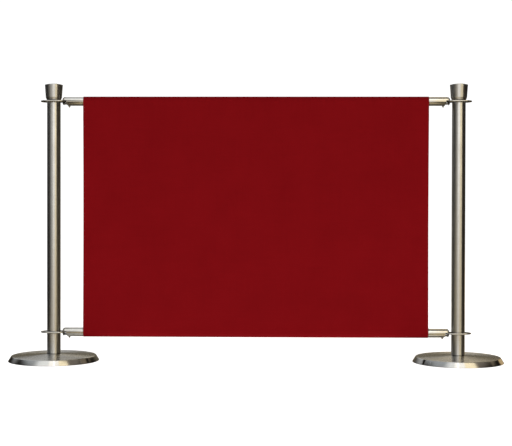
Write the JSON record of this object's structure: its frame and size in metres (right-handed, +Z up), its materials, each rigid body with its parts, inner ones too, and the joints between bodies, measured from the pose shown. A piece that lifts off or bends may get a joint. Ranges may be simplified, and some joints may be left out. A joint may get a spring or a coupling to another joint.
{
  "type": "cafe banner barrier",
  "caption": "Free-standing barrier: weighted steel posts with wire rings, joined by snap-hook crossbars that stretch a plain fabric banner between them.",
  "frame": {"origin": "on the floor midway between the two posts", "axes": "+X along the crossbars, +Z up; the banner's plain face looks towards -Y, its pockets towards +Y"},
  "size_m": [1.781, 0.325, 1],
  "materials": {
    "brushed_steel": "satin, brushed round the tube",
    "spun_steel": "satin, spun in circles",
    "polished_steel": "polished",
    "zinc_plated_steel": "bright zinc",
    "cast_iron": "rough cast",
    "rubber": "matte",
    "banner_fabric": "matte coated fabric, plain dark red"
  },
  "bodies": {
    "left_post": {"left_floor_ring": "rubber", "left_base_weight": "cast_iron", "left_base_cover": "spun_steel", "left_base_bolt": "zinc_plated_steel", "left_base_washer": "zinc_plated_steel", "left_foot_plug": "zinc_plated_steel", "left_post_tube": "brushed_steel", "left_bottom_ring": "polished_steel", "left_top_ring": "polished_steel", "left_head_plug": "zinc_plated_steel", "left_cap_stud": "zinc_plated_steel", "left_crown_cap": "brushed_steel"},
    "panel": {"top_crossbar": "polished_steel", "bottom_crossbar": "polished_steel", "banner": "banner_fabric", "top_left_hook_end": "polished_steel", "top_left_latch_spring": "zinc_plated_steel", "top_left_spring_stop": "zinc_plated_steel", "top_left_hook_screw": "zinc_plated_steel", "top_right_hook_end": "polished_steel", "top_right_latch_spring": "zinc_plated_steel", "top_right_spring_stop": "zinc_plated_steel", "top_right_hook_screw": "zinc_plated_steel", "bottom_left_hook_end": "polished_steel", "bottom_left_latch_spring": "zinc_plated_steel", "bottom_left_spring_stop": "zinc_plated_steel", "bottom_left_hook_screw": "zinc_plated_steel", "bottom_right_hook_end": "polished_steel", "bottom_right_latch_spring": "zinc_plated_steel", "bottom_right_spring_stop": "zinc_plated_steel", "bottom_right_hook_screw": "zinc_plated_steel"},
    "right_post": {"right_floor_ring": "rubber", "right_base_weight": "cast_iron", "right_base_cover": "spun_steel", "right_base_bolt": "zinc_plated_steel", "right_base_washer": "zinc_plated_steel", "right_foot_plug": "zinc_plated_steel", "right_post_tube": "brushed_steel", "right_bottom_ring": "polished_steel", "right_top_ring": "polished_steel", "right_head_plug": "zinc_plated_steel", "right_cap_stud": "zinc_plated_steel", "right_crown_cap": "brushed_steel"},
    "top_left_latch": {"top_left_latch_bolt": "zinc_plated_steel", "top_left_latch_trigger": "polished_steel"},
    "top_right_latch": {"top_right_latch_bolt": "zinc_plated_steel", "top_right_latch_trigger": "polished_steel"},
    "bottom_left_latch": {"bottom_left_latch_bolt": "zinc_plated_steel", "bottom_left_latch_trigger": "polished_steel"},
    "bottom_right_latch": {"bottom_right_latch_bolt": "zinc_plated_steel", "bottom_right_latch_trigger": "polished_steel"}
  },
  "joints": [
    {"name": "panel_swing", "type": "hinge", "parent": "left_post", "child": "panel", "pos_m": [-0.7105, 0, 0.936], "axis": [0, 0, 1], "range_deg": [-45, 45]},
    {"name": "right_post_swing", "type": "hinge", "parent": "panel", "child": "right_post", "pos_m": [0.7105, 0, 0.936], "axis": [0, 0, 1], "range_deg": [-45, 45]},
    {"name": "top_left_latch_slide", "type": "slide", "parent": "panel", "child": "top_left_latch", "axis": [1, 0, 0], "range_m": [0, 0.01], "stiffness_N_per_m": 300, "springref_m": -0.004, "deforming": ["top_left_latch_spring"]},
    {"name": "top_right_latch_slide", "type": "slide", "parent": "panel", "child": "top_right_latch", "axis": [-1, 0, 0], "range_m": [0, 0.01], "stiffness_N_per_m": 300, "springref_m": -0.004, "deforming": ["top_right_latch_spring"]},
    {"name": "bottom_left_latch_slide", "type": "slide", "parent": "panel", "child": "bottom_left_latch", "axis": [1, 0, 0], "range_m": [0, 0.01], "stiffness_N_per_m": 300, "springref_m": -0.004, "deforming": ["bottom_left_latch_spring"]},
    {"name": "bottom_right_latch_slide", "type": "slide", "parent": "panel", "child": "bottom_right_latch", "axis": [-1, 0, 0], "range_m": [0, 0.01], "stiffness_N_per_m": 300, "springref_m": -0.004, "deforming": ["bottom_right_latch_spring"]}
  ]
}
